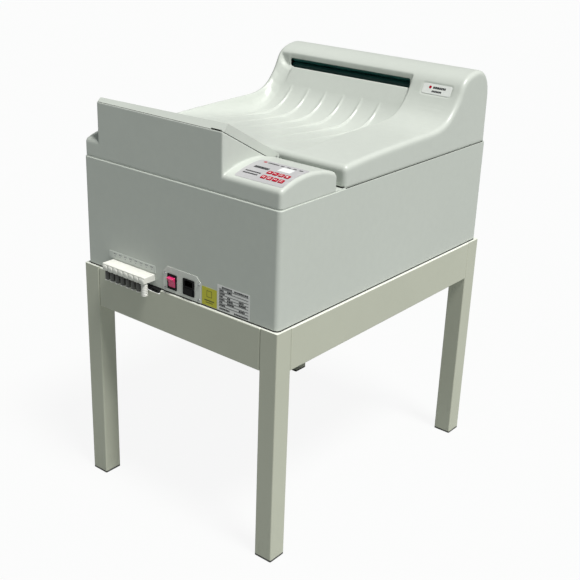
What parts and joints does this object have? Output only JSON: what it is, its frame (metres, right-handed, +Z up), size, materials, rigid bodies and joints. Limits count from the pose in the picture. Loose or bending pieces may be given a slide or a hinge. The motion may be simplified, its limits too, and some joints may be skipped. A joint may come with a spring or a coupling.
{
  "type": "tabletop film processor",
  "caption": "Tabletop X-ray film processor on a four-legged stand: sloping feed lid, keypad, ribbed receiving tray in a hinged top cover, roller drive, tanks and hose manifold.",
  "frame": {"origin": "middle of the footprint at floor level", "axes": "+Z up, +X to the operator's right, -Y towards the operator's side with the keypad"},
  "size_m": [0.632, 0.8986, 1.0713],
  "materials": {
    "black": "black moulded plastic",
    "board": "circuit board",
    "cover": "pale grey-green moulding, satin",
    "exit_roller": "dark green roller",
    "foot": "black moulded caps",
    "gear": "acetal gears on a steel shaft",
    "heater": "sheathed element",
    "housing": "light grey-green moulding, satin",
    "key": "red key caps",
    "label": "grey-lilac film overlay",
    "manifold": "white moulded block",
    "motor": "black motor",
    "panel_label": "printed film labels",
    "plate": "satin anodised plate",
    "rack": "dark grey rack moulding",
    "rocker": "red translucent rocker",
    "roller": "rubber covered roller",
    "sheet": "folded sheet",
    "stand": "satin powder coat, warm grey-green",
    "steel": "zinc plated",
    "tail": "grey translucent tails",
    "tank": "grey chemical-proof moulding",
    "window": "white display window"
  },
  "bodies": {
    "machine": {"leg_front_left": "stand", "leg_front_right": "stand", "leg_rear_left": "stand", "leg_rear_right": "stand", "foot_caps": "foot", "apron_front": "stand", "apron_rear": "stand", "aprons_side": "stand", "fasteners": "steel", "tank_housing": "housing", "front_cover": "cover", "control_label": "label", "display_window": "window", "lid_hinge_bases": "steel", "switch_plate": "plate", "switch_bezel": "black", "mains_inlet": "black", "panel_labels": "panel_label", "hose_manifold": "manifold", "hose_tails": "tail", "bath_tanks": "tank", "rack_developer": "rack", "rack_fixer": "rack", "rack_wash": "rack", "feed_frame": "sheet", "dryer_frame": "sheet", "dryer_duct": "sheet", "dryer_heater": "heater", "fan_frame": "black", "drive_rail": "sheet", "drive_motor": "motor", "circulation_pump": "motor", "control_board": "board"},
    "main_lid": {"main_lid": "cover", "lid_hinge_leaves": "steel", "nameplate": "label"},
    "feed_lid": {"feed_lid": "cover", "feed_lid_pin": "steel"},
    "rocker": {"rocker": "rocker"},
    "fuse_drawer": {"fuse_drawer": "black"},
    "fan_rotor": {"fan_rotor": "black"},
    "drive_shaft": {"drive_shaft": "gear"},
    "feed_roller_lower": {"feed_roller_lower": "roller"},
    "feed_roller_upper": {"feed_roller_upper": "roller"},
    "roller_developer_in": {"roller_developer_in": "roller"},
    "roller_developer_turn": {"roller_developer_turn": "roller"},
    "roller_fixer_in": {"roller_fixer_in": "roller"},
    "roller_fixer_turn": {"roller_fixer_turn": "roller"},
    "roller_wash_in": {"roller_wash_in": "roller"},
    "roller_wash_turn": {"roller_wash_turn": "roller"},
    "exit_roller_lower": {"exit_roller_lower": "exit_roller"},
    "exit_roller_upper": {"exit_roller_upper": "exit_roller"},
    "key_1": {"key_1": "key"},
    "key_2": {"key_2": "key"},
    "key_3": {"key_3": "key"},
    "key_4": {"key_4": "key"},
    "key_5": {"key_5": "key"},
    "key_6": {"key_6": "key"},
    "key_7": {"key_7": "key"},
    "key_8": {"key_8": "key"}
  },
  "joints": [
    {"name": "main_lid_hinge", "type": "hinge", "parent": "machine", "child": "main_lid", "pos_m": [-0.3115, 0.01475, 0.8782], "axis": [0, -1, 0], "range_deg": [0, 80]},
    {"name": "feed_lid_hinge", "type": "hinge", "parent": "machine", "child": "feed_lid", "pos_m": [-0.06, -0.23017, 0.92729], "axis": [-1, 0, 0], "range_deg": [0, 90]},
    {"name": "rocker_tilt", "type": "hinge", "parent": "machine", "child": "rocker", "pos_m": [-0.01, -0.41175, 0.631], "axis": [-1, 0, 0], "range_deg": [0, 22]},
    {"name": "fuse_drawer_slide", "type": "slide", "parent": "machine", "child": "fuse_drawer", "axis": [0, -1, 0], "range_m": [0, 0.024]},
    {"name": "fan_spin", "type": "hinge", "parent": "machine", "child": "fan_rotor", "pos_m": [0.06, 0.42475, 0.74], "axis": [0, 1, 0], "continuous": true},
    {"name": "drive_shaft_spin", "type": "hinge", "parent": "machine", "child": "drive_shaft", "pos_m": [0.182, -0.04525, 0.8404], "axis": [0, 1, 0], "continuous": true},
    {"name": "feed_roller_lower_spin", "type": "hinge", "parent": "machine", "child": "feed_roller_lower", "pos_m": [-0.06, -0.25125, 0.862], "axis": [1, 0, 0], "continuous": true},
    {"name": "feed_roller_upper_spin", "type": "hinge", "parent": "machine", "child": "feed_roller_upper", "pos_m": [-0.06, -0.23525, 0.8782], "axis": [1, 0, 0], "continuous": true},
    {"name": "roller_developer_in_spin", "type": "hinge", "parent": "machine", "child": "roller_developer_in", "pos_m": [-0.06, -0.16325, 0.862], "axis": [1, 0, 0], "continuous": true},
    {"name": "roller_developer_turn_spin", "type": "hinge", "parent": "machine", "child": "roller_developer_turn", "pos_m": [-0.06, -0.13525, 0.69], "axis": [1, 0, 0], "continuous": true},
    {"name": "roller_fixer_in_spin", "type": "hinge", "parent": "machine", "child": "roller_fixer_in", "pos_m": [-0.06, -0.02825, 0.862], "axis": [1, 0, 0], "continuous": true},
    {"name": "roller_fixer_turn_spin", "type": "hinge", "parent": "machine", "child": "roller_fixer_turn", "pos_m": [-0.06, -0.00025, 0.69], "axis": [1, 0, 0], "continuous": true},
    {"name": "roller_wash_in_spin", "type": "hinge", "parent": "machine", "child": "roller_wash_in", "pos_m": [-0.06, 0.10675, 0.862], "axis": [1, 0, 0], "continuous": true},
    {"name": "roller_wash_turn_spin", "type": "hinge", "parent": "machine", "child": "roller_wash_turn", "pos_m": [-0.06, 0.13475, 0.69], "axis": [1, 0, 0], "continuous": true},
    {"name": "exit_roller_lower_spin", "type": "hinge", "parent": "machine", "child": "exit_roller_lower", "pos_m": [-0.06, 0.33275, 1.0094], "axis": [1, 0, 0], "continuous": true},
    {"name": "exit_roller_upper_spin", "type": "hinge", "parent": "machine", "child": "exit_roller_upper", "pos_m": [-0.06, 0.33275, 1.0362], "axis": [1, 0, 0], "continuous": true},
    {"name": "key_1_press", "type": "slide", "parent": "machine", "child": "key_1", "axis": [0, 0.207, -0.9783], "range_m": [0, 0.0008], "stiffness_N_per_m": 300, "springref_m": -0.0008},
    {"name": "key_2_press", "type": "slide", "parent": "machine", "child": "key_2", "axis": [0, 0.207, -0.9783], "range_m": [0, 0.0008], "stiffness_N_per_m": 300, "springref_m": -0.0008},
    {"name": "key_3_press", "type": "slide", "parent": "machine", "child": "key_3", "axis": [0, 0.207, -0.9783], "range_m": [0, 0.0008], "stiffness_N_per_m": 300, "springref_m": -0.0008},
    {"name": "key_4_press", "type": "slide", "parent": "machine", "child": "key_4", "axis": [0, 0.207, -0.9783], "range_m": [0, 0.0008], "stiffness_N_per_m": 300, "springref_m": -0.0008},
    {"name": "key_5_press", "type": "slide", "parent": "machine", "child": "key_5", "axis": [0, 0.2895, -0.9572], "range_m": [0, 0.0008], "stiffness_N_per_m": 300, "springref_m": -0.0008},
    {"name": "key_6_press", "type": "slide", "parent": "machine", "child": "key_6", "axis": [0, 0.2895, -0.9572], "range_m": [0, 0.0008], "stiffness_N_per_m": 300, "springref_m": -0.0008},
    {"name": "key_7_press", "type": "slide", "parent": "machine", "child": "key_7", "axis": [0, 0.2895, -0.9572], "range_m": [0, 0.0008], "stiffness_N_per_m": 300, "springref_m": -0.0008},
    {"name": "key_8_press", "type": "slide", "parent": "machine", "child": "key_8", "axis": [0, 0.2895, -0.9572], "range_m": [0, 0.0008], "stiffness_N_per_m": 300, "springref_m": -0.0008}
  ],
  "couplings": [
    {"joint": "feed_roller_lower_spin", "follows": "drive_shaft_spin", "ratio": -0.5},
    {"joint": "feed_roller_upper_spin", "follows": "drive_shaft_spin", "ratio": 0.5},
    {"joint": "roller_developer_in_spin", "follows": "drive_shaft_spin", "ratio": -0.5},
    {"joint": "roller_developer_turn_spin", "follows": "drive_shaft_spin", "ratio": -0.3},
    {"joint": "roller_fixer_in_spin", "follows": "drive_shaft_spin", "ratio": -0.5},
    {"joint": "roller_fixer_turn_spin", "follows": "drive_shaft_spin", "ratio": -0.3},
    {"joint": "roller_wash_in_spin", "follows": "drive_shaft_spin", "ratio": -0.5},
    {"joint": "roller_wash_turn_spin", "follows": "drive_shaft_spin", "ratio": -0.3},
    {"joint": "exit_roller_lower_spin", "follows": "drive_shaft_spin", "ratio": 0.46},
    {"joint": "exit_roller_upper_spin", "follows": "drive_shaft_spin", "ratio": -0.46}
  ]
}
